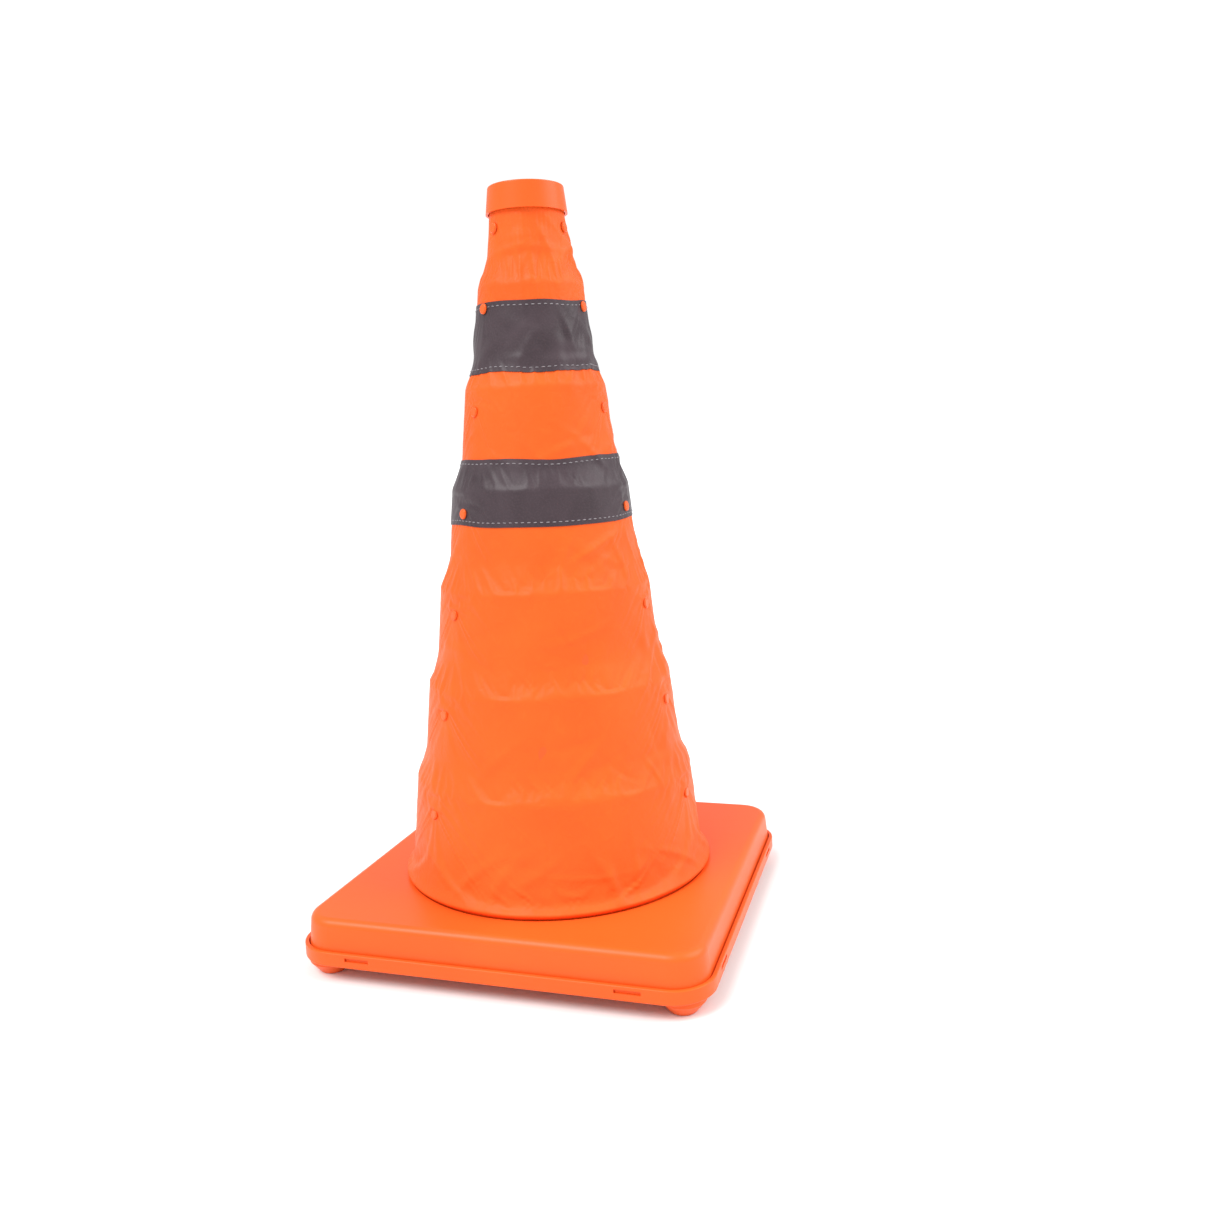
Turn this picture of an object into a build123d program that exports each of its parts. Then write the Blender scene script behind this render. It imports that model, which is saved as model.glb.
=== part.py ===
from build123d import *
import os
from math import atan, cos, degrees, radians, sin, tan

# A pop-up traffic cone: seven tapered rings telescope inside a fabric sleeve that is riveted to them,
# over a hollow square base. Everything is in millimetres, +Z up, and the feet stand on z = 0.

# Overall size
cone_height = 450.0
base_side = 247.0

# Base
foot_height = 10.0
foot_spacing = 212.0
foot_radius_low = 7.5
foot_radius_high = 13.0
foot_pad_height = 3.0
floor_thickness = 2.0
rim_height = 8.6
rim_wall = 2.2
rim_corner = 24.0
deck_top = 36.0
deck_thickness = 2.3
deck_side_low = 242.0
deck_side_high = 236.7
deck_corner = 21.0
deck_edge_radius = 4.8
deck_opening_radius = 95.6
centring_rib_radius = 90.5
centring_rib_height = 5.0

# Snap hooks of the deck in the slots of the rim, two on each side
hook_offset = 80.0
hook_width = 14.8
hook_height = 2.1
hook_z = 15.5
hook_recess = 1.2
slot_width = 15.0
slot_height = 2.3

# Collar that clamps the sleeve's hem under the deck
collar_top = 33.0
collar_flange = 2.0
collar_outer = 107.5
collar_skirt_radius = 97.2
collar_skirt_wall = 1.6
collar_skirt_depth = 6.0
collar_screw_count = 8
collar_screw_circle = 103.0
screw_shank = 1.5
screw_head = 2.9
screw_head_height = 1.8
screw_tip = 35.2

# Telescoping rings, numbered from the top
ring_count = 7
ring_pitch = 58.6
lowest_ring_top = 100.2
first_ring_top = 446.0
first_ring_radius = 19.7
ring_step = 11.0
wall_slope = 0.109
ring_wall = 1.6
lip_reach = 3.9
lip_height = 2.0
bead_reach = 1.8
bead_height = 2.0
stop_gap = 0.3
mouth_rounding = 0.9

# Snap rivets, three to a ring
rivet_angles = (-125.0, -5.0, 115.0)
rivet_drop = 14.0
first_rivet_z = 425.0
rivet_shank = 1.5
rivet_head = 3.1
rivet_head_height = 1.2
rivet_back = 3.0
rivet_back_height = 1.2
fit = 0.05

# Fabric sleeve and reflective bands
fabric = 0.5
fabric_on_own_ring = 0.1
fabric_on_other_ring = 0.3
section_drop = 21.0
sleeve_head_z = 444.5
bulge_height = 11.0
hem_radius = 100.5
sleeve_foot_radius = 94.3
band_thickness = 0.4
band_lift = 0.3
upper_band_z = (343.0, 383.0)
lower_band_z = (255.5, 293.5)
banded_rings = (2, 4)

# Cap
cap_bottom_z = 434.5
cap_radius_high = 22.4
cap_radius_low = 24.2
cap_wall = 1.4
cap_roof = 2.0
spigot_wall = 1.5
spigot_bottom_z = 437.0


def nominal_top(ring):
    """Height at which a ring's wall has its nominal top radius."""
    return lowest_ring_top + (ring_count - ring) * ring_pitch


def ring_top(ring):
    """Real top of a ring; the ring below the last one is the fixed collar."""
    if ring > ring_count:
        return collar_top
    return min(nominal_top(ring), first_ring_top)


def ring_bottom(ring):
    """A ring's bead hangs just under the lip of the ring around it."""
    return ring_top(ring + 1) - lip_height - stop_gap - bead_height


def wall_radius(ring, z):
    """Outer radius of a ring's tapered wall at one height."""
    return first_ring_radius + (ring - 1) * ring_step + wall_slope * (nominal_top(ring) - z)


def rivet_z(ring):
    return first_rivet_z if ring == 1 else ring_top(ring) - rivet_drop


def section_border(ring):
    """Height on a ring's wall where two sections of the sleeve meet."""
    return ring_top(ring) - section_drop


def turned(points):
    """Solid of revolution about Z from a closed outline of (radius, height) points."""
    outline = Plane.XZ * Polyline(*points, close=True)
    return revolve(make_face(outline), Axis.Z)


def rivet_frame(ring, angle, lift):
    """Frame on a ring's wall whose +Z is the wall's outward normal, raised by lift."""
    lean = atan(wall_slope)
    height = rivet_z(ring)
    radius = wall_radius(ring, height)
    turn = radians(angle)
    normal = Vector(cos(turn) * cos(lean), sin(turn) * cos(lean), sin(lean))
    spot = Vector(radius * cos(turn), radius * sin(turn), height)
    return Plane(origin=spot + normal * lift, x_dir=Vector(-sin(turn), cos(turn), 0), z_dir=normal)


def drilled(solid, ring, radius):
    """Solid with a hole along each rivet of a ring."""
    for angle in rivet_angles:
        drill = Cylinder(radius, 8.0)
        solid -= rivet_frame(ring, angle, 0.0) * drill
    return solid


def support_ring(ring):
    top = ring_top(ring)
    bottom = ring_bottom(ring)
    mouth = wall_radius(ring, top) - lip_reach
    bead_top = bottom + bead_height
    bead = wall_radius(ring, bead_top) + bead_reach
    solid = turned([
        (mouth, top),
        (wall_radius(ring, top), top),
        (wall_radius(ring, bead_top), bead_top),
        (bead, bead_top),
        (bead, bottom),
        (wall_radius(ring, bottom) - ring_wall, bottom),
        (wall_radius(ring, top - lip_height) - ring_wall, top - lip_height),
        (mouth, top - lip_height),
    ])
    rim = solid.edges().filter_by(GeomType.CIRCLE).group_by(Axis.Z)[-1].sort_by(SortBy.RADIUS)[-1]
    solid = fillet(rim, mouth_rounding)
    return drilled(solid, ring, rivet_shank + fit)


def head_lift(ring):
    """Distance from a ring's wall to the underside of its rivet heads."""
    lift = fabric_on_other_ring if ring == 1 else fabric_on_own_ring
    lift += fabric + fit
    if ring in banded_rings:
        lift += band_lift + band_thickness
    return lift


def rivets(ring):
    """Domed heads outside the sleeve with shanks that reach through the ring's wall."""
    lift = head_lift(ring)
    depth = lift + ring_wall + rivet_back_height + fit
    shank = Pos(0, 0, -depth / 2) * Cylinder(rivet_shank, depth)
    disc = Pos(0, 0, rivet_head_height / 2) * Cylinder(rivet_head, rivet_head_height)
    head = fillet(disc.edges().group_by(Axis.Z)[-1], rivet_head_height * 0.8)
    rivet = head + shank
    return Compound([rivet_frame(ring, angle, lift) * rivet for angle in rivet_angles])


def rivet_backs(ring):
    """Press-on washers that hold the shanks inside the ring."""
    bore = wall_radius(ring, rivet_z(ring)) - ring_wall
    sagitta = rivet_back**2 / (2 * bore)
    middle = -(ring_wall + sagitta + fit + rivet_back_height / 2)
    washer = Pos(0, 0, middle) * (
        Cylinder(rivet_back, rivet_back_height) - Cylinder(rivet_shank + fit, rivet_back_height)
    )
    return Compound([rivet_frame(ring, angle, 0.0) * washer for angle in rivet_angles])


def top_cap():
    """Cap over the first ring: a skirt outside it and a spigot pressed into its mouth."""
    roof = cone_height - cap_roof
    flare = (cap_radius_low - cap_radius_high) / (cone_height - cap_bottom_z)
    mouth = wall_radius(1, ring_top(1)) - lip_reach
    shell = turned([
        (0, cone_height),
        (cap_radius_high, cone_height),
        (cap_radius_low, cap_bottom_z),
        (cap_radius_low - cap_wall, cap_bottom_z),
        (cap_radius_high + flare * cap_roof - cap_wall, roof),
        (mouth - fit, roof),
        (mouth - fit, spigot_bottom_z),
        (mouth - spigot_wall, spigot_bottom_z),
        (mouth - spigot_wall, roof),
        (0, roof),
    ])
    edge = shell.edges().filter_by(GeomType.CIRCLE).group_by(Axis.Z)[-1].sort_by(SortBy.RADIUS)[-1]
    return fillet(edge, 1.0)


def sleeve_line(section):
    """Inner line of one section of the sleeve, from its upper end to its lower end."""
    upper = section
    lower = section + 1
    head = sleeve_head_z if section == 1 else section_border(upper) - fit
    if section == ring_count:
        bulge_start = deck_top + bulge_height
        tail = [(sleeve_foot_radius, deck_top), (sleeve_foot_radius, collar_top + fit)]
    else:
        shoulder = ring_top(lower)
        bulge_start = shoulder + bulge_height
        foot = section_border(lower)
        tail = [
            (wall_radius(lower, shoulder) + fabric_on_own_ring, shoulder + 0.4),
            (wall_radius(lower, foot) + fabric_on_own_ring, foot),
        ]
    line = [(wall_radius(upper, z) + fabric_on_other_ring, z) for z in (head, bulge_start)]
    return line + tail


def fabric_section(section):
    """Tapered tube of fabric from one ring's wall to the next, holed for the rivets."""
    inner = sleeve_line(section)
    outer = [(radius + fabric, z) for radius, z in reversed(inner)]
    if section == ring_count:
        hem_top = collar_top + fit + fabric
        hem = [(hem_radius, collar_top + fit), (hem_radius, hem_top)]
        outer = hem + [(sleeve_foot_radius + fabric, hem_top)] + outer[1:]
        return turned(inner + outer)
    solid = drilled(turned(inner + outer), section + 1, rivet_shank + 0.3)
    if section == 1:
        solid = drilled(solid, 1, rivet_shank + 0.4)
    return solid


def band(heights, sections, ring):
    """Reflective tape around the sleeve, following its outside with a small lift."""
    low, high = heights
    step = fabric + band_lift
    line = []
    for section in sections:
        line += [(radius + step, z) for radius, z in sleeve_line(section)]
    line = [point for index, point in enumerate(line) if index == 0 or point[1] < line[index - 1][1]]
    inner = [(at_height(line, high), high)]
    inner += [point for point in line if low < point[1] < high]
    inner += [(at_height(line, low), low)]
    outer = [(radius + band_thickness, z) for radius, z in reversed(inner)]
    return drilled(turned(inner + outer), ring, rivet_shank + 0.3)


def at_height(line, z):
    """Radius of a falling line of (radius, height) points at one height."""
    for (radius_a, z_a), (radius_b, z_b) in zip(line, line[1:]):
        if z_b <= z <= z_a:
            return radius_a + (radius_b - radius_a) * (z_a - z) / (z_a - z_b)
    raise ValueError("height outside the line")


def rounded_block(side, corner, height, z, taper=0.0):
    return extrude(Pos(0, 0, z) * RectangleRounded(side, side, corner), height, taper=taper)


def round_the_base(offset):
    """Eight frames just inside the sides' outer faces: two on each side, +X pointing out."""
    for quarter in range(4):
        for along in (-hook_offset, hook_offset):
            yield Rot(0, 0, 90 * quarter) * Pos(offset, along, hook_z)


def bottom_tray():
    """Shallow tray with a raised rim, four moulded feet and a rib that centres the rings."""
    floor_top = foot_height + floor_thickness
    tray = rounded_block(base_side, rim_corner, rim_height, foot_height)
    tray = fillet(tray.faces().sort_by(Axis.Z)[0].edges(), 1.2)
    tray = fillet(tray.faces().sort_by(Axis.Z)[-1].outer_wire().edges(), 0.7)
    inside = base_side - 2 * rim_wall
    tray -= rounded_block(inside, rim_corner - rim_wall, rim_height, floor_top)
    rib = Cylinder(centring_rib_radius, centring_rib_height) - Cylinder(
        centring_rib_radius - 2.0, centring_rib_height
    )
    tray += Pos(0, 0, floor_top + centring_rib_height / 2) * rib
    for place in round_the_base(base_side / 2 - rim_wall / 2):
        tray -= place * Box(2 * rim_wall, slot_width, slot_height)
    taper_height = foot_height - foot_pad_height
    foot = Pos(0, 0, taper_height / 2) * Cone(foot_radius_low, foot_radius_high, taper_height)
    foot = fillet(foot.edges().group_by(Axis.Z)[0], 1.0)
    foot += Pos(0, 0, foot_height - foot_pad_height / 2) * Cylinder(foot_radius_high, foot_pad_height)
    for corner in GridLocations(foot_spacing, foot_spacing, 2, 2):
        tray += corner * foot
    return tray


def deck_shell():
    """Cover of the base: a drafted square shell with the opening for the sleeve."""
    bottom = foot_height + floor_thickness + fit
    height = deck_top - bottom
    draft = degrees(atan((deck_side_low - deck_side_high) / 2 / height))
    deck = rounded_block(deck_side_low, deck_corner, height, bottom, draft)
    deck = fillet(deck.faces().sort_by(Axis.Z)[-1].edges(), deck_edge_radius)
    inner_height = height - deck_thickness
    inner_side = deck_side_low - 2 * deck_thickness
    inside = rounded_block(inner_side, deck_corner - deck_thickness, inner_height, bottom, draft)
    inside = fillet(inside.faces().sort_by(Axis.Z)[-1].edges(), deck_edge_radius - deck_thickness)
    deck -= inside
    deck -= Pos(0, 0, deck_top) * Cylinder(deck_opening_radius, 4 * deck_thickness)
    mouth = deck.edges().filter_by(GeomType.CIRCLE).group_by(Axis.Z)[-1].sort_by(SortBy.RADIUS)[-1]
    deck = fillet(mouth, 1.0)
    wall_at_hook = deck_side_low / 2 - (hook_z - bottom) * tan(radians(draft))
    nose_tip = base_side / 2 - hook_recess
    nose_root = wall_at_hook - deck_thickness / 2
    for place in round_the_base((nose_tip + nose_root) / 2):
        deck += place * Box(nose_tip - nose_root, hook_width, hook_height)
    hole_depth = screw_tip + fit
    for spot in PolarLocations(collar_screw_circle, collar_screw_count):
        deck -= spot * Pos(0, 0, hole_depth / 2) * Cylinder(screw_shank + fit, hole_depth)
    return deck


def base_collar():
    """Fixed ring under the deck: it clamps the hem and its lip stops the largest ring's bead."""
    flange_low = collar_top - collar_flange
    lip = wall_radius(ring_count, flange_low) + 0.6
    solid = turned([
        (lip, collar_top),
        (collar_outer, collar_top),
        (collar_outer, flange_low),
        (collar_skirt_radius + collar_skirt_wall, flange_low),
        (collar_skirt_radius + collar_skirt_wall, flange_low - collar_skirt_depth),
        (collar_skirt_radius, flange_low - collar_skirt_depth),
        (collar_skirt_radius, flange_low),
        (lip, flange_low),
    ])
    for spot in PolarLocations(collar_screw_circle, collar_screw_count):
        solid -= spot * Pos(0, 0, collar_top) * Cylinder(screw_shank + fit, 4 * collar_flange)
    return solid


def collar_screws():
    """Thread-forming screws driven up through the collar's flange into the deck."""
    under_flange = collar_top - collar_flange - fit
    length = screw_tip - under_flange
    shank = Pos(0, 0, under_flange + length / 2) * Cylinder(screw_shank, length)
    head = Pos(0, 0, under_flange - screw_head_height / 2) * Cylinder(screw_head, screw_head_height)
    head = fillet(head.edges().group_by(Axis.Z)[0], screw_head_height / 2)
    screw = shank + head
    slot = Pos(0, 0, under_flange - screw_head_height) * (Box(3.6, 0.8, 1.2) + Box(0.8, 3.6, 1.2))
    screw -= slot
    spots = PolarLocations(collar_screw_circle, collar_screw_count)
    return Compound([spot * screw for spot in spots])


def cone_parts():
    """Every piece of the cone by name."""
    parts = {
        "bottom_tray": bottom_tray(),
        "deck_shell": deck_shell(),
        "base_collar": base_collar(),
        "collar_screws": collar_screws(),
        "top_cap": top_cap(),
        "reflective_band_upper": band(upper_band_z, (1, 2), 2),
        "reflective_band_lower": band(lower_band_z, (3,), 4),
    }
    for ring in range(1, ring_count + 1):
        parts[f"support_ring_{ring}"] = support_ring(ring)
        parts[f"ring_{ring}_rivets"] = rivets(ring)
        parts[f"ring_{ring}_rivet_backs"] = rivet_backs(ring)
        parts[f"fabric_section_{ring}"] = fabric_section(ring)
    return parts


os.makedirs("parts", exist_ok=True)
for name, part in cone_parts().items():
    export_step(part, f"parts/{name}.step")
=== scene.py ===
"""Pop-up traffic cone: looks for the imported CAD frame.

The sleeve is relaxed as cloth over the telescoping rings, then parted into one section for each sliding
joint. The reflective bands, their stitching and the closing seam follow the relaxed cloth. The moulded
pieces stay as the frame holds them and get their finishes here. Lengths are in metres.
"""

import math

import bpy
import numpy as np
from mathutils import Matrix, Vector


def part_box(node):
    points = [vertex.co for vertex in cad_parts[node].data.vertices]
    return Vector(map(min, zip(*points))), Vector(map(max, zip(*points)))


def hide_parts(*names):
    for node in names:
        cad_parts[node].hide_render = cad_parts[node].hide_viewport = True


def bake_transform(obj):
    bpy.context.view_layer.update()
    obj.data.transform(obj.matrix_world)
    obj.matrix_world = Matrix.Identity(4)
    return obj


bl_info = {
    "name": "Pop-up Traffic Cone",
    "version": (1, 0, 0),
    "blender": (4, 5, 0),
    "location": "View3D > Sidebar > Traffic Cone",
    "description": "Builds the sleeve, bands, stitching and finishes of a collapsible traffic cone",
    "category": "Add Mesh",
}

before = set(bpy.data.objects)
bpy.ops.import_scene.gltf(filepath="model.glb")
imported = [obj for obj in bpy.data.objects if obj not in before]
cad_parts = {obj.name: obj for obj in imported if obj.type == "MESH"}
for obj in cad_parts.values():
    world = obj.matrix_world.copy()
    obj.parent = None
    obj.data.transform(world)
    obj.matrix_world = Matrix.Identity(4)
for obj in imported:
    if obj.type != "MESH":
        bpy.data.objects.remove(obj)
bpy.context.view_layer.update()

# Rings, read from the frame: ring 1 is the smallest and carries the cap
RING_COUNT = 7
RING_TOPS = {ring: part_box(f"support_ring_{ring}")[1][2] for ring in range(1, RING_COUNT + 1)}
DECK_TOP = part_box("deck_shell")[1][2]
COLLAR_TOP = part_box("base_collar")[1][2]
CAP_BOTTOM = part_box("top_cap")[0][2]
SECTION_TOPS = {ring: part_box(f"fabric_section_{ring}")[1][2] for ring in range(1, RING_COUNT + 1)}
SLEEVE_HEAD = SECTION_TOPS[1]
TAPE_HEIGHTS = {name: (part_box(f"reflective_band_{name}")[0][2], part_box(f"reflective_band_{name}")[1][2])
                for name in ("upper", "lower")}
HEM_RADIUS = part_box("fabric_section_7")[1][0]

# Tapered ring walls under the sleeve
RING_PITCH = 0.0586
FIRST_WALL_RADIUS = 0.0197
WALL_STEP = 0.011
WALL_SLOPE = 0.109
FIRST_NOMINAL_TOP = RING_TOPS[2] + RING_PITCH
SLEEVE_GAP = 0.00035
SLEEVE_FOOT_RADIUS = 0.09455
FOOT_BULGE = 0.0026
FOOT_BULGE_RISE = 0.0025
FOOT_BULGE_BELOW = 0.0015
FOOT_BULGE_ABOVE = 0.0038
FOOT_CALM = 0.013

# Rivets
RIVET_ANGLES = (math.radians(-125.0), math.radians(-5.0), math.radians(115.0))
RIVET_DROP = 0.014
FIRST_RIVET = 0.425
RIVET_HOLD = 0.0036

# Cloth grid
AROUND = 288
ROW_STEP = 0.0018
SIM_SCALE = 10.0
SIM_FRAMES = 24
MOST_MOVE = 0.005
CALM_REACH = 7
STEP_ABOVE = 0.019
STEP_BELOW = 0.0015

# Sewing: the closing seam is at the back, and the grid starts there
SEAM_ANGLE = math.radians(56.25)
SEAM_WIDTH = 0.009
SEAM_RISE = 0.00035
SEAM_LINES = (0.0018, 0.0068)
EDGE_TO_STITCH = 0.0026
FINE = 2
STITCH_SPREAD = 0.05
LAP_FADE = 0.0009
TAPE_ROWS = 44

# Creases left from folding, in the loose lower half of each stage
CREASES_PER_STAGE = 36
CREASE_SIDE = -0.1
CREASE_LENGTHS = (0.008, 0.026)
CREASE_WIDTHS = (0.0018, 0.0045)
CREASE_LEAN = 0.9
CREASE_BAND = (0.006, 0.036)

CUT_MAP = "flat_cut"

sleeve = {}
stitch_random = np.random.default_rng(7)
crease_random = np.random.default_rng(23)


class ConeSizes(bpy.types.PropertyGroup):
    """Sizes of the cloth and of its sewing."""

    cloth: bpy.props.FloatProperty(
        name="Cloth thickness", description="Thickness of the coated cloth",
        default=0.00035, unit="LENGTH")
    tape: bpy.props.FloatProperty(
        name="Tape thickness", description="Thickness of the reflective tape",
        default=0.0004, unit="LENGTH")
    tape_lift: bpy.props.FloatProperty(
        name="Tape lift", description="Height of the tape's back over the middle of the cloth",
        default=0.0003, unit="LENGTH")
    slack: bpy.props.FloatProperty(
        name="Slack", description="Extra cloth in the loose lower half of each stage, as a fraction",
        default=0.09, subtype="FACTOR")
    tautness: bpy.props.FloatProperty(
        name="Upper slack", description="Extra cloth over the upper half of each ring, as a fraction",
        default=0.004, subtype="FACTOR")
    gravity: bpy.props.FloatProperty(
        name="Gravity", description="Share of its weight that the coated cloth gives way to",
        default=0.15, subtype="FACTOR")
    crease: bpy.props.FloatProperty(
        name="Crease height", description="Height of the sharpest creases left from folding",
        default=0.0010, unit="LENGTH")
    tape_calm: bpy.props.FloatProperty(
        name="Tape stiffness", description="Share of the cloth's creases that the stiff tape takes out",
        default=0.45, subtype="FACTOR")
    tape_wave: bpy.props.FloatProperty(
        name="Tape wave", description="How far the tape's cut edges wander up and down",
        default=0.0005, unit="LENGTH")
    stitch: bpy.props.FloatProperty(
        name="Stitch length", description="Length of one visible stitch",
        default=0.0024, unit="LENGTH")
    stitch_pitch: bpy.props.FloatProperty(
        name="Stitch pitch", description="Distance from one stitch to the next",
        default=0.0036, unit="LENGTH")
    thread: bpy.props.FloatProperty(
        name="Thread", description="Diameter of the sewing thread",
        default=0.0006, unit="LENGTH")


class ConeColours(bpy.types.PropertyGroup):
    """Colours of the cone's finishes."""

    cloth: bpy.props.FloatVectorProperty(
        name="Cloth", description="Coated cloth of the sleeve",
        default=(0.80, 0.101, 0.012), subtype="COLOR")
    plastic: bpy.props.FloatVectorProperty(
        name="Plastic", description="Moulded base and cap",
        default=(0.80, 0.101, 0.013), subtype="COLOR")
    rings: bpy.props.FloatVectorProperty(
        name="Rings", description="Moulded rings inside the sleeve",
        default=(0.72, 0.09, 0.014), subtype="COLOR")
    tape: bpy.props.FloatVectorProperty(
        name="Tape", description="Reflective tape",
        default=(0.048, 0.0325, 0.0385), subtype="COLOR")
    thread: bpy.props.FloatVectorProperty(
        name="Thread", description="Sewing thread",
        default=(0.23, 0.205, 0.22), subtype="COLOR")
    steel: bpy.props.FloatVectorProperty(
        name="Steel", description="Zinc-plated screws",
        default=(0.6, 0.6, 0.62), subtype="COLOR")


class ConeView(bpy.types.PropertyGroup):
    """Where the camera stands and how bright the studio is."""

    around: bpy.props.FloatProperty(
        name="Around", description="Turn of the camera round the cone from the front",
        default=0.3583, subtype="ANGLE")
    distance: bpy.props.FloatProperty(
        name="Distance", description="Distance of the camera from the cone's axis",
        default=0.6674, unit="LENGTH")
    height: bpy.props.FloatProperty(
        name="Height", description="Height of the camera over the floor",
        default=0.3055, unit="LENGTH")
    pan: bpy.props.FloatProperty(
        name="Pan", description="Turn to the right of the cone's axis",
        default=0.0606, subtype="ANGLE")
    tilt: bpy.props.FloatProperty(
        name="Tilt", description="Tilt below the horizon",
        default=0.1643, subtype="ANGLE")
    roll: bpy.props.FloatProperty(
        name="Roll", description="Clockwise roll of the camera",
        default=0.0412, subtype="ANGLE")
    lens: bpy.props.FloatProperty(
        name="Lens", description="Focal length in millimetres on a 36 mm sensor",
        default=31.69)
    sky: bpy.props.FloatProperty(
        name="Sky", description="Light that the white surroundings give",
        default=0.8)
    lamps: bpy.props.FloatProperty(
        name="Lamps", description="Brightness of the soft lamps",
        default=1.0)


# Shape of the sleeve


def wall_radius(ring, z):
    """Outer radius of a ring's tapered wall at one height."""
    nominal_top = FIRST_NOMINAL_TOP - (ring - 1) * RING_PITCH
    return FIRST_WALL_RADIUS + (ring - 1) * WALL_STEP + WALL_SLOPE * (nominal_top - z)


def smooth(value):
    value = min(max(value, 0.0), 1.0)
    return value * value * (3.0 - 2.0 * value)


def sleeve_radius(z):
    """Radius of the cloth drawn tight over the rings, before it is relaxed."""
    ring = 1
    while ring < RING_COUNT and z < RING_TOPS[ring + 1] - STEP_BELOW:
        ring += 1
    radius = wall_radius(ring, z)
    if ring == RING_COUNT:
        start = DECK_TOP + STEP_ABOVE
        foot = SLEEVE_FOOT_RADIUS - SLEEVE_GAP
        off = z - DECK_TOP - FOOT_BULGE_RISE
        bulge = FOOT_BULGE * math.exp(-(off / (FOOT_BULGE_ABOVE if off > 0.0 else FOOT_BULGE_BELOW)) ** 2)
        return radius + (foot - radius) * smooth((start - z) / STEP_ABOVE) + SLEEVE_GAP + bulge
    step = RING_TOPS[ring + 1]
    if z < step + STEP_ABOVE:
        reach = smooth((step + STEP_ABOVE - z) / (STEP_ABOVE + STEP_BELOW))
        radius += (wall_radius(ring + 1, z) - radius) * reach
    return radius + SLEEVE_GAP


def section_rows():
    """Heights of the cloth grid's rows, top down, and the row at which each section starts."""
    borders = [SLEEVE_HEAD] + [SECTION_TOPS[ring] for ring in range(2, RING_COUNT + 1)]
    borders.append(COLLAR_TOP + 0.0004)
    heights, starts = [], []
    for high, low in zip(borders, borders[1:]):
        count = round((high - low) / ROW_STEP)
        starts.append(len(heights))
        heights += [high + (low - high) * step / count for step in range(count)]
    heights.append(borders[-1])
    starts.append(len(heights) - 1)
    return heights, starts


def tight_grid(heights):
    """Points of the tight sleeve as an array of rows by columns by xyz."""
    angles = SEAM_ANGLE + np.linspace(0.0, 2.0 * math.pi, AROUND, endpoint=False)
    radii = np.array([sleeve_radius(z) for z in heights])
    grid = np.empty((len(heights), AROUND, 3))
    grid[:, :, 0] = radii[:, None] * np.cos(angles)
    grid[:, :, 1] = radii[:, None] * np.sin(angles)
    grid[:, :, 2] = np.array(heights)[:, None]
    return grid


def tube_faces(rows, columns, first=0, inward=False):
    """Quads of a closed tube of points laid out row by row, as an array of corner numbers."""
    row, column = np.meshgrid(np.arange(rows - 1), np.arange(columns), indexing="ij")
    after = (column + 1) % columns
    quads = np.stack([row * columns + column, (row + 1) * columns + column,
                      (row + 1) * columns + after, row * columns + after], axis=-1).reshape(-1, 4)
    return first + (quads[:, ::-1] if inward else quads)


def mesh_object(name, points, faces):
    mesh = bpy.data.meshes.new(name)
    mesh.from_pydata(points.tolist(), [], faces)
    mesh.update()
    piece = bpy.data.objects.new(name, mesh)
    bpy.context.scene.collection.objects.link(piece)
    return piece


def rivet_spots():
    """Every rivet as (angle, height)."""
    spots = []
    for ring in range(1, RING_COUNT + 1):
        height = FIRST_RIVET if ring == 1 else RING_TOPS[ring] - RIVET_DROP
        spots += [(angle, height) for angle in RIVET_ANGLES]
    return spots


def rivet_distance(grid):
    """Distance of every grid point from the nearest rivet, measured along the cloth."""
    radius = np.hypot(grid[:, :, 0], grid[:, :, 1])
    turn = np.arctan2(grid[:, :, 1], grid[:, :, 0])
    nearest = np.full(radius.shape, 1.0)
    for angle, height in rivet_spots():
        gap = np.abs((turn - angle + math.pi) % (2 * math.pi) - math.pi) * radius
        nearest = np.minimum(nearest, np.hypot(gap, grid[:, :, 2] - height))
    return nearest


def looseness(z):
    """0 where the cloth lies tight on a ring, 1 where it hangs free above the next ring."""
    ring = 1
    while ring < RING_COUNT and z < RING_TOPS[ring + 1] - 0.004:
        ring += 1
    low = RING_TOPS[ring + 1] if ring < RING_COUNT else DECK_TOP
    return smooth(1.0 - abs(z - low - 0.014) / 0.024)


def ring_former():
    """Stack of ring walls that the cloth is laid over, at the simulation's scale."""
    profile = []
    for ring in range(1, RING_COUNT + 1):
        top = RING_TOPS[ring] if ring > 1 else SLEEVE_HEAD + 0.004
        foot = RING_TOPS[ring + 1] if ring < RING_COUNT else COLLAR_TOP - 0.006
        profile.append((wall_radius(ring, top) - 0.0012, top))
        profile.append((wall_radius(ring, top - 0.001), top - 0.001))
        profile.append((wall_radius(ring, foot), foot))
    bpy.ops.object.select_all(action="DESELECT")
    mesh = bpy.data.meshes.new("former")
    points = [(radius * SIM_SCALE, 0.0, z * SIM_SCALE) for radius, z in profile]
    mesh.from_pydata(points, [(i, i + 1) for i in range(len(points) - 1)], [])
    former = bpy.data.objects.new("former", mesh)
    bpy.context.scene.collection.objects.link(former)
    former.select_set(True)
    bpy.context.view_layer.objects.active = former
    bpy.ops.object.mode_set(mode="EDIT")
    bpy.ops.mesh.select_all(action="SELECT")
    bpy.ops.mesh.spin(steps=96, angle=2 * math.pi, center=(0, 0, 0), axis=(0, 0, 1))
    bpy.ops.mesh.select_all(action="SELECT")
    bpy.ops.mesh.remove_doubles(threshold=1e-4)
    bpy.ops.mesh.normals_make_consistent(inside=False)
    bpy.ops.object.mode_set(mode="OBJECT")
    former.modifiers.new("Collision", "COLLISION")
    former.collision.thickness_outer = 0.0015
    former.collision.thickness_inner = 0.05
    former.collision.cloth_friction = 12.0
    return former


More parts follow.
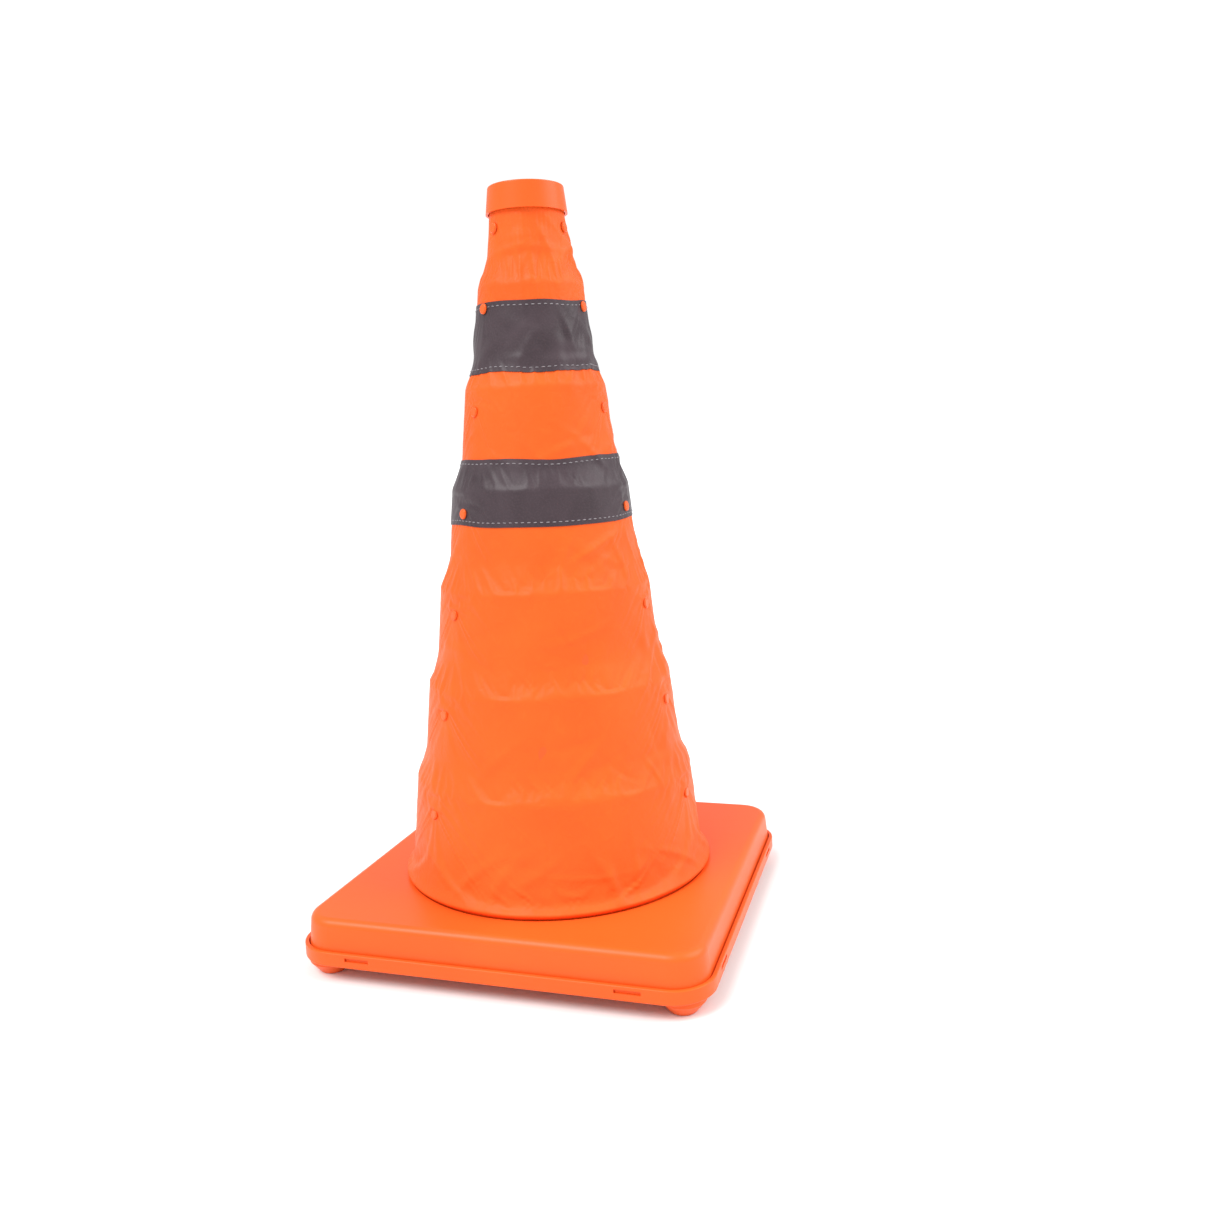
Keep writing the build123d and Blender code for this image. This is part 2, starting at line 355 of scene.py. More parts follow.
def relax_cloth(grid, sizes):
    """Lets the slack cloth settle over the rings, held at the rivets, the cap and the deck."""
    former = ring_former()
    faces = tube_faces(len(grid), AROUND).tolist()
    cloth = mesh_object("loose_sleeve", grid.reshape(-1, 3) * SIM_SCALE, faces)
    rivets = rivet_distance(grid).reshape(-1)
    heights = grid[:, :, 2].reshape(-1)
    held = (rivets < RIVET_HOLD) | (heights > CAP_BOTTOM - 0.001) | (heights < DECK_TOP - 0.0005)
    pinned = cloth.vertex_groups.new(name="held")
    pinned.add([int(i) for i in np.nonzero(held)[0]], 1.0, "REPLACE")
    free = cloth.vertex_groups.new(name="free")
    for row in range(len(grid)):
        weight = looseness(grid[row, 0, 2])
        free.add(list(range(row * AROUND, (row + 1) * AROUND)), weight, "REPLACE")
    modifier = cloth.modifiers.new("Cloth", "CLOTH")
    settings = modifier.settings
    settings.quality = 5
    settings.mass = 0.25
    settings.air_damping = 2.0
    settings.tension_stiffness = 30.0
    settings.compression_stiffness = 30.0
    settings.shear_stiffness = 12.0
    settings.bending_stiffness = 0.5
    settings.effector_weights.gravity = sizes.gravity
    settings.vertex_group_mass = "held"
    settings.pin_stiffness = 1.0
    settings.vertex_group_shrink = "free"
    settings.shrink_min = -sizes.tautness
    settings.shrink_max = -sizes.slack
    collisions = modifier.collision_settings
    collisions.distance_min = 0.0015
    collisions.collision_quality = 1
    collisions.use_self_collision = False
    modifier.point_cache.frame_start = 1
    modifier.point_cache.frame_end = SIM_FRAMES
    for step in range(1, SIM_FRAMES + 1):
        bpy.context.scene.frame_set(step)
    depsgraph = bpy.context.evaluated_depsgraph_get()
    settled = cloth.evaluated_get(depsgraph).to_mesh()
    flat = np.empty(len(settled.vertices) * 3)
    settled.vertices.foreach_get("co", flat)
    bpy.data.objects.remove(cloth)
    bpy.data.objects.remove(former)
    bpy.context.scene.frame_set(1)
    if not np.isfinite(flat).all():
        raise RuntimeError("the cloth didn't settle")
    return flat.reshape(grid.shape) / SIM_SCALE


def tape_share(heights):
    """For every row, 1 under a reflective band and 0 away from them."""
    share = np.zeros(len(heights))
    for low, high in TAPE_HEIGHTS.values():
        share += [smooth((high - z) / 0.002 + 0.5) * smooth((z - low) / 0.002 + 0.5) for z in heights]
    return share


def settle(grid, settled, heights, sizes):
    """Tight cloth with the settled creases on it: limited in reach, calmer under the tape."""
    move = settled - grid
    length = np.linalg.norm(move, axis=2, keepdims=True)
    move *= np.minimum(1.0, MOST_MOVE / np.maximum(length, 1e-9))
    gentle = sum(np.roll(move, shift, axis=1) for shift in range(-CALM_REACH, CALM_REACH + 1))
    gentle /= 2 * CALM_REACH + 1
    near_deck = np.clip(1.0 - (np.asarray(heights) - DECK_TOP) / FOOT_CALM, 0.0, 1.0)
    calm = np.maximum(sizes.tape_calm * tape_share(heights), near_deck)[:, None, None]
    return grid + move + (gentle - move) * calm


def refined(grid):
    """Grid with twice the rows and columns, on smooth cubics through its points."""
    padded = np.concatenate([2 * grid[:1] - grid[1:2], grid, 2 * grid[-1:] - grid[-2:-1]])
    rows = np.empty((2 * len(grid) - 1,) + grid.shape[1:])
    rows[::2] = grid
    rows[1::2] = (9 * (padded[1:-2] + padded[2:-1]) - padded[:-3] - padded[3:]) / 16
    after = np.roll(rows, -1, axis=1)
    fine = np.empty((len(rows), 2 * rows.shape[1], 3))
    fine[:, ::2] = rows
    fine[:, 1::2] = (9 * (rows + after) - np.roll(rows, 1, axis=1) - np.roll(rows, -2, axis=1)) / 16
    return fine


def outward_normals(grid):
    """Unit normals of a closed tube of points, facing away from the axis."""
    down = np.gradient(grid, axis=0)
    along = np.roll(grid, -1, axis=1) - np.roll(grid, 1, axis=1)
    normals = np.cross(down, along)
    return normals / np.linalg.norm(normals, axis=2, keepdims=True)


def raise_seam(grid):
    """Lifts the lapped cloth of the closing seam by one thickness, with soft edges."""
    columns = grid.shape[1]
    radius = np.hypot(grid[:, :, 0], grid[:, :, 1])
    along = np.arange(columns) * 2 * math.pi / columns * radius
    rise = np.clip(1.0 - (along - SEAM_WIDTH) / LAP_FADE, 0.0, 1.0) * SEAM_RISE
    return grid + outward_normals(grid) * rise[:, :, None]


def add_creases(grid, sizes):
    """Presses short slanting creases into the cloth above each step, where it folds when the cone is closed."""
    normals = outward_normals(grid)
    turn = np.arctan2(grid[:, :, 1], grid[:, :, 0])
    radius = np.hypot(grid[:, :, 0], grid[:, :, 1])
    height = grid[:, :, 2]
    rise = np.zeros(radius.shape)
    for stage in range(1, RING_COUNT + 1):
        low = RING_TOPS[stage + 1] if stage < RING_COUNT else DECK_TOP + 0.002
        for _ in range(CREASES_PER_STAGE):
            angle = crease_random.choice((crease_random.uniform(-math.pi, math.pi),
                                          crease_random.normal(CREASE_SIDE, 0.6)))
            middle = low + CREASE_BAND[0] + (CREASE_BAND[1] - CREASE_BAND[0]) * crease_random.beta(1.3, 2.2)
            length = crease_random.uniform(*CREASE_LENGTHS)
            width = crease_random.uniform(*CREASE_WIDTHS)
            lean = crease_random.normal(0.0, CREASE_LEAN)
            sharp = sizes.crease * crease_random.uniform(0.25, 1.0) * crease_random.choice((1.0, 1.0, -0.45))
            bow = crease_random.normal(0.0, 0.08) / length
            rows = np.nonzero(np.abs(height[:, 0] - middle) < 3 * length)[0]
            near = slice(rows[0], rows[-1] + 1)
            across = ((turn[near] - angle + math.pi) % (2 * math.pi) - math.pi) * radius[near]
            up = height[near] - middle
            along = up * math.cos(lean) + across * math.sin(lean)
            side = across * math.cos(lean) - up * math.sin(lean) - bow * along**2
            rise[near] += sharp * np.exp(-(side / width) ** 2 - (along / length) ** 2)
    held = np.clip(rivet_distance(grid) / RIVET_HOLD - 1.0, 0.0, 1.0)
    loose = np.clip((height - DECK_TOP - 0.001) / 0.004, 0.0, 1.0) * np.clip((CAP_BOTTOM - height) / 0.004, 0.0, 1.0)
    return grid + normals * (rise * held * loose)[:, :, None]


def hem_rows(grid):
    """Rows that carry the sleeve out under the deck, where the collar clamps it."""
    last = grid[-1]
    middle = COLLAR_TOP + 0.0003
    rows = []
    for reach, height in ((0.0002, middle + 0.00005), (0.0009, middle), (0.0030, middle),
                          (HEM_RADIUS - SLEEVE_FOOT_RADIUS - 0.0001, middle)):
        radius = SLEEVE_FOOT_RADIUS + reach
        turn = np.arctan2(last[:, 1], last[:, 0])
        rows.append(np.stack([radius * np.cos(turn), radius * np.sin(turn), np.full(len(turn), height)], 1))
    return np.concatenate([grid, np.array(rows)])


def on_cloth(rows, columns):
    """Points and outward normals of the relaxed cloth at fractional rows and columns."""
    points, normals = sleeve["points"], sleeve["normals"]
    count = points.shape[1]
    rows = np.clip(rows, 0.0, len(points) - 1.001)
    row = np.floor(rows).astype(int)
    column = np.floor(columns).astype(int)
    down = (rows - row)[..., None]
    along = (columns - column)[..., None]
    here, after = column % count, (column + 1) % count

    def between(values):
        upper = values[row, here] * (1 - along) + values[row, after] * along
        lower = values[row + 1, here] * (1 - along) + values[row + 1, after] * along
        return upper * (1 - down) + lower * down

    facing = between(normals)
    return between(points), facing / np.linalg.norm(facing, axis=-1, keepdims=True)


def row_at(z):
    """Fractional row of the relaxed cloth whose height before relaxing was z."""
    heights = sleeve["heights"]
    return np.interp(-z, -heights, np.arange(len(heights)))


def cut_pattern(heights, columns):
    """Flat pattern of the sleeve, in metres: a cone rolled out from the closing seam, a point per corner."""
    slant_slope = math.atan((SLEEVE_FOOT_RADIUS - sleeve_radius(SLEEVE_HEAD)) / (SLEEVE_HEAD - COLLAR_TOP))
    apex = SLEEVE_HEAD + sleeve_radius(SLEEVE_HEAD) / math.tan(slant_slope)
    slant = (apex - np.asarray(heights)) / math.cos(slant_slope)
    spread = np.asarray(columns) / sleeve["points"].shape[1] * 2 * math.pi * math.sin(slant_slope)
    pattern = np.empty(np.broadcast(slant, spread).shape + (2,))
    pattern[..., 0] = slant * np.sin(spread)
    pattern[..., 1] = slant * np.cos(spread)
    return pattern


def flat_cut(high, low):
    """Width, length and area of the flat piece of cloth between two heights, for the whole turn."""
    turns = sleeve["points"].shape[1]
    upper, lower = float(cut_pattern(high, 0)[1]), float(cut_pattern(low, 0)[1])
    right = math.atan2(*cut_pattern(low, turns)) / 2
    width = 2 * lower * math.sin(right)
    return (width, lower - upper * math.cos(right)), right * (lower**2 - upper**2)


def cloth_shell(name, middle, normals, inner, outer, pattern):
    """Closed tube of cloth around its middle surface, with its flat pattern as its UV map."""
    rows, columns = middle.shape[:2]
    count = rows * columns
    outside, inside = middle + normals * outer, middle + normals * inner
    faces = [tube_faces(rows, columns), tube_faces(rows, columns, count, inward=True)]
    column = np.arange(columns)
    after = (column + 1) % columns
    last = (rows - 1) * columns
    faces.append(np.stack([column, after, count + after, count + column], 1))
    faces.append(np.stack([last + after, last + column, count + last + column, count + last + after], 1))
    faces = np.concatenate(faces)
    points = np.concatenate([outside.reshape(-1, 3), inside.reshape(-1, 3)])
    piece = mesh_object(name, points, faces.tolist())
    mesh = piece.data
    corners = faces.reshape(-1) % count
    corner_row, corner_column = corners // columns, corners % columns
    by_face = corner_column.reshape(-1, 4)
    wraps = (by_face.max(axis=1) - by_face.min(axis=1) > columns // 2)[:, None] & (by_face == 0)
    corner_column = np.where(wraps, columns, by_face).reshape(-1)
    layer = mesh.uv_layers.new(name=CUT_MAP)
    layer.data.foreach_set("uv", pattern[corner_row, corner_column].astype(np.float32).ravel())
    mesh.polygons.foreach_set("use_smooth", np.ones(len(faces), bool))
    facing = np.concatenate([normals.reshape(-1, 3), -normals.reshape(-1, 3)])
    mesh.normals_split_custom_set_from_vertices(facing.tolist())
    return piece


# Sewing


def stitch_shape(sizes):
    """One stitch lying along X: its corner points and faces, with both ends drawn in."""
    bpy.ops.object.select_all(action="DESELECT")
    bpy.ops.mesh.primitive_uv_sphere_add(segments=6, ring_count=6, radius=0.5)
    stitch = bpy.context.object
    bpy.ops.object.mode_set(mode="EDIT")
    bpy.ops.mesh.select_all(action="SELECT")
    bpy.ops.transform.rotate(value=math.pi / 2, orient_axis="Y", center_override=(0, 0, 0))
    bpy.ops.transform.resize(value=(sizes.stitch, sizes.thread, sizes.thread), center_override=(0, 0, 0))
    bpy.ops.object.mode_set(mode="OBJECT")
    points = np.array([vertex.co for vertex in stitch.data.vertices])
    faces = [list(face.vertices) for face in stitch.data.polygons]
    bpy.data.meshes.remove(stitch.data)
    points[:, 2] -= sizes.thread * 0.75 * (2 * points[:, 0] / sizes.stitch) ** 2
    return points, faces


def lay_stitch(shape, row, column, upright, lift):
    """Points of one stitch laid on the cloth, around it or down it, a little longer or shorter and askew."""
    ends, _ = on_cloth(np.array([row - 0.5, row + 0.5]), np.array([column, column]))
    per_row = float(np.linalg.norm(ends[1] - ends[0]))
    per_column = 2 * math.pi * float(np.hypot(ends[0, 0], ends[0, 1])) / sleeve["points"].shape[1]
    stretch, askew = 1.0 + STITCH_SPREAD * stitch_random.standard_normal(), 0.06 * stitch_random.standard_normal()
    along = shape[:, 0] * stretch
    across = shape[:, 1] + along * askew
    if upright:
        spots, facing = on_cloth(row + along / per_row, column + across / per_column)
    else:
        spots, facing = on_cloth(row + across / per_row, column + along / per_column)
    return spots + facing * (lift + shape[:, 2])[:, None]


def sewn_line(name, shape, stitches, colours):
    """One piece with a copy of the stitch at each (row, column, upright, lift)."""
    points, faces = shape
    copies = [lay_stitch(points, *stitch) for stitch in stitches]
    corners = [[corner + number * len(points) for corner in face]
               for number in range(len(copies)) for face in faces]
    piece = mesh_object(name, np.concatenate(copies), corners)
    piece.data.polygons.foreach_set("use_smooth", np.ones(len(corners), bool))
    piece.data.materials.append(sewing_thread(colours))
    return piece


def tape_edge(name, share):
    """Fractional rows of a line around a reflective band, from 0 at its top edge to 1 at its bottom edge."""
    low, high = TAPE_HEIGHTS[name]
    turn = np.arange(sleeve["points"].shape[1]) * 2 * math.pi / sleeve["points"].shape[1]
    wander = 0.6 * np.sin(3 * turn + 1.0) + 0.4 * np.sin(7 * turn + 2.0 + high * 90.0)
    wander += (0.5 - share) * np.sin(5 * turn + high * 40.0)
    wave = bpy.context.scene.cone_sizes.tape_wave
    return row_at(high + (low - high) * share - wave * (1.0 + wander))


def follow_joint(piece, ring, start, end):
    """Bakes the piece's placement into its mesh."""
    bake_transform(piece)


def section_span(section):
    """Heights between which a section of the sleeve goes from one body to the next."""
    start = FIRST_RIVET - 0.004 if section == 1 else SECTION_TOPS[section]
    end = RING_TOPS[section + 1] if section < RING_COUNT else DECK_TOP + 0.004
    return start, end


# Finishes


def new_finish(name, colour, roughness):
    """Material with one Principled shader: (material, node tree, shader)."""
    material = bpy.data.materials.new(name)
    material.use_nodes = True
    tree = material.node_tree
    shader = tree.nodes["Principled BSDF"]
    shader.inputs["Base Color"].default_value = (*colour, 1.0)
    shader.inputs["Roughness"].default_value = roughness
    return material, tree, shader


def node(tree, kind, settings=(), **inputs):
    """New node with its settings and its inputs, each a value or the output of another node."""
    made = tree.nodes.new(kind)
    for name, value in dict(settings).items():
        setattr(made, name, value)
    for name, value in inputs.items():
        socket = made.inputs[name.replace("_", " ")]
        if isinstance(value, bpy.types.NodeSocket):
            tree.links.new(value, socket)
        else:
            socket.default_value = value
    return made


def noise(tree, where, scale, detail=3.0, roughness=0.5, distortion=0.0, kind="FBM"):
    made = node(tree, "ShaderNodeTexNoise", {"noise_type": kind}, Vector=where, Scale=scale, Detail=detail,
                Roughness=roughness, Distortion=distortion)
    return made.outputs["Factor"] if "Factor" in made.outputs else made.outputs["Fac"]


def in_range(tree, value, low, high, to_low=0.0, to_high=1.0):
    made = node(tree, "ShaderNodeMapRange", Value=value)
    for name, number in (("From Min", low), ("From Max", high), ("To Min", to_low), ("To Max", to_high)):
        made.inputs[name].default_value = number
    return made.outputs["Result"]


def blended(tree, share, first, second):
    """Colour that goes from the first to the second with the share."""
    made = node(tree, "ShaderNodeMix", {"data_type": "RGBA"})
    tree.links.new(share, made.inputs["Factor"])
    for socket, colour in ((made.inputs[6], first), (made.inputs[7], second)):
        if isinstance(colour, bpy.types.NodeSocket):
            tree.links.new(colour, socket)
        else:
            socket.default_value = (*colour, 1.0)
    return made.outputs[2]


def maths(tree, operation, first, second):
    made = node(tree, "ShaderNodeMath", {"operation": operation})
    for socket, value in zip(made.inputs, (first, second)):
        if isinstance(value, bpy.types.NodeSocket):
            tree.links.new(value, socket)
        else:
            socket.default_value = value
    return made.outputs["Value"]


def raised(tree, height, distance, strength=1.0, below=None):
    """Bump of the given depth in metres, laid over another one."""
    made = node(tree, "ShaderNodeBump", Height=height, Distance=distance, Strength=strength)
    if below is not None:
        tree.links.new(below, made.inputs["Normal"])
    return made.outputs["Normal"]


def shade(colour, amount):
    return tuple(min(channel * amount, 1.0) for channel in colour)


def on_flat_cut(tree):
    return node(tree, "ShaderNodeUVMap", {"uv_map": CUT_MAP}).outputs["UV"]


def on_object(tree):
    return node(tree, "ShaderNodeTexCoord").outputs["Object"]


def weave(tree, where, pitch):
    """Plain weave: threads of one pitch that cross over and under."""
    scale = math.pi / (10.0 * pitch)
    warp = node(tree, "ShaderNodeTexWave", {"bands_direction": "X"}, Vector=where, Scale=scale, Distortion=0.0)
    weft = node(tree, "ShaderNodeTexWave", {"bands_direction": "Y"}, Vector=where, Scale=scale, Distortion=0.0)
    return maths(tree, "ADD", warp.outputs["Fac"], weft.outputs["Fac"])


def coated_cloth(colours):
    """Orange coated polyester: fine weave under the coating, crinkles, patches of deeper colour, and a painted
    highlight that lightens the peaks of the crinkles.
    """
    found = bpy.data.materials.get("coated_cloth")
    if found:
        return found
    material, tree, shader = new_finish("coated_cloth", colours.cloth, 0.46)
    cut = on_flat_cut(tree)
    patches = noise(tree, cut, 24.0, detail=4.0, distortion=0.4)
    crinkle = noise(tree, cut, 150.0, detail=4.0, roughness=0.55, distortion=0.8)
    creases = noise(tree, cut, 60.0, detail=5.0, roughness=0.6, distortion=1.2, kind="RIDGED_MULTIFRACTAL")
    body = blended(tree, in_range(tree, patches, 0.3, 0.7), shade(colours.cloth, 0.93), shade(colours.cloth, 1.06))
    # Painted highlight: the cloth is painted lighter on the peaks of the crinkle bump, where light would catch.
    crinkle_highlight = blended(tree, in_range(tree, crinkle, 0.55, 0.8, 0.0, 0.35), body, shade(colours.cloth, 1.25))
    tree.links.new(crinkle_highlight, shader.inputs["Base Color"])
    tree.links.new(in_range(tree, crinkle, 0.3, 0.7, 0.42, 0.54), shader.inputs["Roughness"])
    shader.inputs["Specular IOR Level"].default_value = 0.16
    bump = raised(tree, weave(tree, cut, 0.00055), 0.00003, 0.5)
    bump = raised(tree, creases, 0.0003, 0.35, bump)
    bump = raised(tree, crinkle, 0.0006, 0.6, bump)
    tree.links.new(bump, shader.inputs["Normal"])
    return material


def reflective_tape(colours):
    """Grey tape of glass beads on cloth: fine paler grain, soft shine, creases in its bump."""
    found = bpy.data.materials.get("glass_bead_tape")
    if found:
        return found
    material, tree, shader = new_finish("glass_bead_tape", colours.tape, 0.4)
    cut = on_flat_cut(tree)
    patches = noise(tree, cut, 45.0, detail=4.0, distortion=0.6)
    creases = noise(tree, cut, 110.0, detail=5.0, roughness=0.6, distortion=1.5, kind="RIDGED_MULTIFRACTAL")
    beads = node(tree, "ShaderNodeTexVoronoi", Vector=cut, Scale=1900.0).outputs["Distance"]
    grain = noise(tree, cut, 900.0, detail=2.0)
    body = blended(tree, in_range(tree, patches, 0.3, 0.7), shade(colours.tape, 0.8), shade(colours.tape, 1.2))
    pale = blended(tree, in_range(tree, grain, 0.45, 0.75, 0.0, 0.5), body, shade(colours.tape, 1.5))
    tree.links.new(pale, shader.inputs["Base Color"])
    tree.links.new(in_range(tree, patches, 0.3, 0.7, 0.36, 0.5), shader.inputs["Roughness"])
    shader.inputs["Specular IOR Level"].default_value = 0.25
    bump = raised(tree, beads, 0.00004, 0.4)
    bump = raised(tree, creases, 0.0003, 0.4, bump)
    tree.links.new(bump, shader.inputs["Normal"])
    return material


def moulded_plastic(name, colour, roughness, grain_depth):
    """Injection-moulded plastic: faint orange peel, patchy shine and fine handling scratches."""
    material, tree, shader = new_finish(name, colour, roughness)
    place = on_object(tree)
    flow = noise(tree, place, 14.0, detail=3.0, distortion=0.5)
    peel = noise(tree, place, 320.0, detail=2.0)
    grain = noise(tree, place, 2200.0, detail=2.0)
    stretched = node(tree, "ShaderNodeMapping", Vector=place, Scale=(40.0, 900.0, 400.0), Rotation=(0.1, 0.3, 0.5))
    scratch = noise(tree, stretched.outputs["Vector"], 1.0, detail=4.0, roughness=0.7)
    body = blended(tree, in_range(tree, flow, 0.3, 0.7), shade(colour, 0.95), shade(colour, 1.05))
    tree.links.new(body, shader.inputs["Base Color"])
    shine = maths(tree, "ADD", in_range(tree, flow, 0.3, 0.7, -0.03, 0.03),
                  in_range(tree, scratch, 0.62, 0.8, roughness, roughness + 0.15))
    tree.links.new(shine, shader.inputs["Roughness"])
    shader.inputs["Specular IOR Level"].default_value = 0.22
    bump = raised(tree, grain, grain_depth, 0.5)
    bump = raised(tree, peel, 0.00006, 0.3, bump)
    bump = raised(tree, in_range(tree, scratch, 0.66, 0.8), -0.00002, 0.5, bump)
    tree.links.new(bump, shader.inputs["Normal"])
    return material


def zinc_steel(colours):
    """Zinc-plated steel with a brushed, slightly cloudy shine."""
    material, tree, shader = new_finish("zinc_steel", colours.steel, 0.34)
    shader.inputs["Metallic"].default_value = 1.0
    place = on_object(tree)
    stretched = node(tree, "ShaderNodeMapping", Vector=place, Scale=(200.0, 200.0, 3000.0))
    brushed = noise(tree, stretched.outputs["Vector"], 1.0, detail=3.0)
    clouds = noise(tree, place, 500.0, detail=2.0)
    body = blended(tree, in_range(tree, clouds, 0.3, 0.7), shade(colours.steel, 0.85), shade(colours.steel, 1.1))
    tree.links.new(body, shader.inputs["Base Color"])
    tree.links.new(in_range(tree, clouds, 0.3, 0.7, 0.28, 0.42), shader.inputs["Roughness"])
    tree.links.new(raised(tree, brushed, 0.00002, 0.5), shader.inputs["Normal"])
    return material


def sewing_thread(colours):
    """Pale twisted thread."""
    found = bpy.data.materials.get("sewing_thread")
    if found:
        return found
    material, tree, shader = new_finish("sewing_thread", colours.thread, 0.6)
    place = on_object(tree)
    twist = noise(tree, place, 2500.0, detail=2.0, distortion=0.5)
    body = blended(tree, in_range(tree, twist, 0.35, 0.65), shade(colours.thread, 0.75), shade(colours.thread, 1.2))
    tree.links.new(body, shader.inputs["Base Color"])
    shader.inputs["Sheen Weight"].default_value = 0.1
    tree.links.new(raised(tree, twist, 0.0001, 0.6), shader.inputs["Normal"])
    return material


def give_finish(node_name, material):
    """Puts a finish on a moulded piece of the frame."""
    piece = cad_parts[node_name]
    if not piece.material_slots:
        piece.data.materials.append(material)
    for material_slot in piece.material_slots:
        material_slot.material = material


# Operators


class CONE_OT_relax_sleeve(bpy.types.Operator):
    """Settle the slack cloth over the rings and keep its shape for the sewing"""

    bl_idname = "cone.relax_sleeve"
    bl_label = "Relax the sleeve"

    def execute(self, context):
        sizes = context.scene.cone_sizes
        heights, starts = section_rows()
        grid = tight_grid(heights)
        grid = settle(grid, relax_cloth(grid, sizes), heights, sizes)
        fine = hem_rows(raise_seam(add_creases(refined(grid), sizes)))
        first, last = heights[0], heights[-1]
        between = np.interp(np.arange(2 * len(heights) - 1), np.arange(len(heights)) * 2, heights)
        hem = last - 0.0001 * np.arange(1, len(fine) - len(between) + 1)
        sleeve["heights"] = np.concatenate([between, hem])
        sleeve["points"] = fine
        sleeve["normals"] = outward_normals(fine)
        sleeve["starts"] = [2 * start for start in starts[:-1]] + [len(fine) - 1]
        return {"FINISHED"}


class CONE_OT_sew_seam(bpy.types.Operator):
    """Sew the closing seam at the back, in one piece for each section of the sleeve"""

    bl_idname = "cone.sew_seam"
    bl_label = "Sew the closing seam"

    def execute(self, context):
        sizes, colours = context.scene.cone_sizes, context.scene.cone_colours
        shape = stitch_shape(sizes)
        on_bare = sizes.cloth / 2 + sizes.thread * 0.25
        on_tape = sizes.tape_lift + sizes.tape + sizes.thread * 0.25
        for section in range(1, RING_COUNT + 1):
            top = SECTION_TOPS[section] if section > 1 else CAP_BOTTOM + 0.002
            foot = SECTION_TOPS[section + 1] if section < RING_COUNT else DECK_TOP - 0.001
            stitches = []
            for z in np.arange(top - sizes.stitch_pitch / 2, foot + sizes.stitch / 2, -sizes.stitch_pitch):
                taped = any(low < z < high for low, high in TAPE_HEIGHTS.values())
                row = float(row_at(z))
                spot, _ = on_cloth(np.array([row]), np.array([0.0]))
                per_column = 2 * math.pi * np.hypot(spot[0, 0], spot[0, 1]) / sleeve["points"].shape[1]
                for line in SEAM_LINES:
                    stitches.append((row, line / per_column, True, on_tape if taped else on_bare))
            piece = sewn_line(f"seam_stitching_{section}", shape, stitches, colours)
            follow_joint(piece, section, *section_span(section))
        return {"FINISHED"}


class CONE_OT_sew_sleeve(bpy.types.Operator):
    """Make the seven sections of the coated cloth sleeve"""

    bl_idname = "cone.sew_sleeve"
    bl_label = "Sew the sleeve"

    def execute(self, context):
        sizes, colours = context.scene.cone_sizes, context.scene.cone_colours
        columns = np.arange(sleeve["points"].shape[1] + 1)
        for section in range(1, RING_COUNT + 1):
            first, last = sleeve["starts"][section - 1], sleeve["starts"][section]
            rows = slice(first, last + 1)
            heights = sleeve["heights"][rows]
            piece = cloth_shell(
                f"sleeve_section_{section}", sleeve["points"][rows], sleeve["normals"][rows],
                -sizes.cloth / 2, sizes.cloth / 2, cut_pattern(heights[:, None], columns[None, :]))
            piece.data.materials.append(coated_cloth(colours))
            follow_joint(piece, section, *section_span(section))
            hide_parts(f"fabric_section_{section}")
            flat, area = flat_cut(heights[0], heights[-1])
            if section == RING_COUNT:
                area += math.pi * (HEM_RADIUS**2 - SLEEVE_FOOT_RADIUS**2)
        return {"FINISHED"}


class CONE_OT_sew_tape(bpy.types.Operator):
    """Lay the two reflective bands on the sleeve and sew them along both edges"""

    bl_idname = "cone.sew_tape"
    bl_label = "Sew the reflective bands"

    def execute(self, context):
        sizes, colours = context.scene.cone_sizes, context.scene.cone_colours
        shape = stitch_shape(sizes)
        columns = np.arange(sleeve["points"].shape[1])
        heights = sleeve["heights"]
        for name, ring in (("upper", 2), ("lower", 3)):
            low, high = TAPE_HEIGHTS[name]
            lines = np.array([tape_edge(name, share) for share in np.linspace(0.0, 1.0, TAPE_ROWS)])
            middle, normals = on_cloth(lines, np.broadcast_to(columns, lines.shape).astype(float))
            at = np.interp(lines, np.arange(len(heights)), heights)
            at = np.concatenate([at, at[:, :1]], axis=1)
            piece = cloth_shell(
                f"tape_{name}", middle, normals, sizes.tape_lift, sizes.tape_lift + sizes.tape,
                cut_pattern(at, np.arange(len(columns) + 1)[None, :]))
            piece.data.materials.append(reflective_tape(colours))
            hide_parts(f"reflective_band_{name}")
            inset = EDGE_TO_STITCH / (high - low)
            stitches = []
            for share in (inset, 1.0 - inset):
                edge = tape_edge(name, share)
                spots, _ = on_cloth(edge, columns.astype(float))
                count = round(2 * math.pi * np.hypot(spots[0, 0], spots[0, 1]) / sizes.stitch_pitch)
                for number in range(count):
                    column = number * len(columns) / count
                    row = float(np.interp(column, np.arange(len(columns)), edge))
                    lift = sizes.tape_lift + sizes.tape + sizes.thread * 0.25
                    stitches.append((row, column, False, lift))
            sewing = sewn_line(f"tape_{name}_stitching", shape, stitches, colours)
            for part in (piece, sewing):
                follow_joint(part, ring, *section_span(ring))
            flat, area = flat_cut(high, low)
        return {"FINISHED"}


class CONE_OT_finish_base(bpy.types.Operator):
    """Give the tray, deck and cap the satin orange of moulded plastic"""

    bl_idname = "cone.finish_base"
    bl_label = "Finish the base and cap"

    def execute(self, context):
        colours = context.scene.cone_colours
        material = moulded_plastic("satin_orange_plastic", colours.plastic, 0.36, 0.00002)
        for name in ("bottom_tray", "deck_shell", "top_cap"):
            give_finish(name, material)
        return {"FINISHED"}


class CONE_OT_finish_rings(bpy.types.Operator):
    """Give the telescoping rings and the collar their duller plastic"""

    bl_idname = "cone.finish_rings"
    bl_label = "Finish the rings"

    def execute(self, context):
        material = moulded_plastic("matte_ring_plastic", context.scene.cone_colours.rings, 0.5, 0.00004)
        for ring in range(1, RING_COUNT + 1):
            give_finish(f"support_ring_{ring}", material)
        give_finish("base_collar", material)
        return {"FINISHED"}


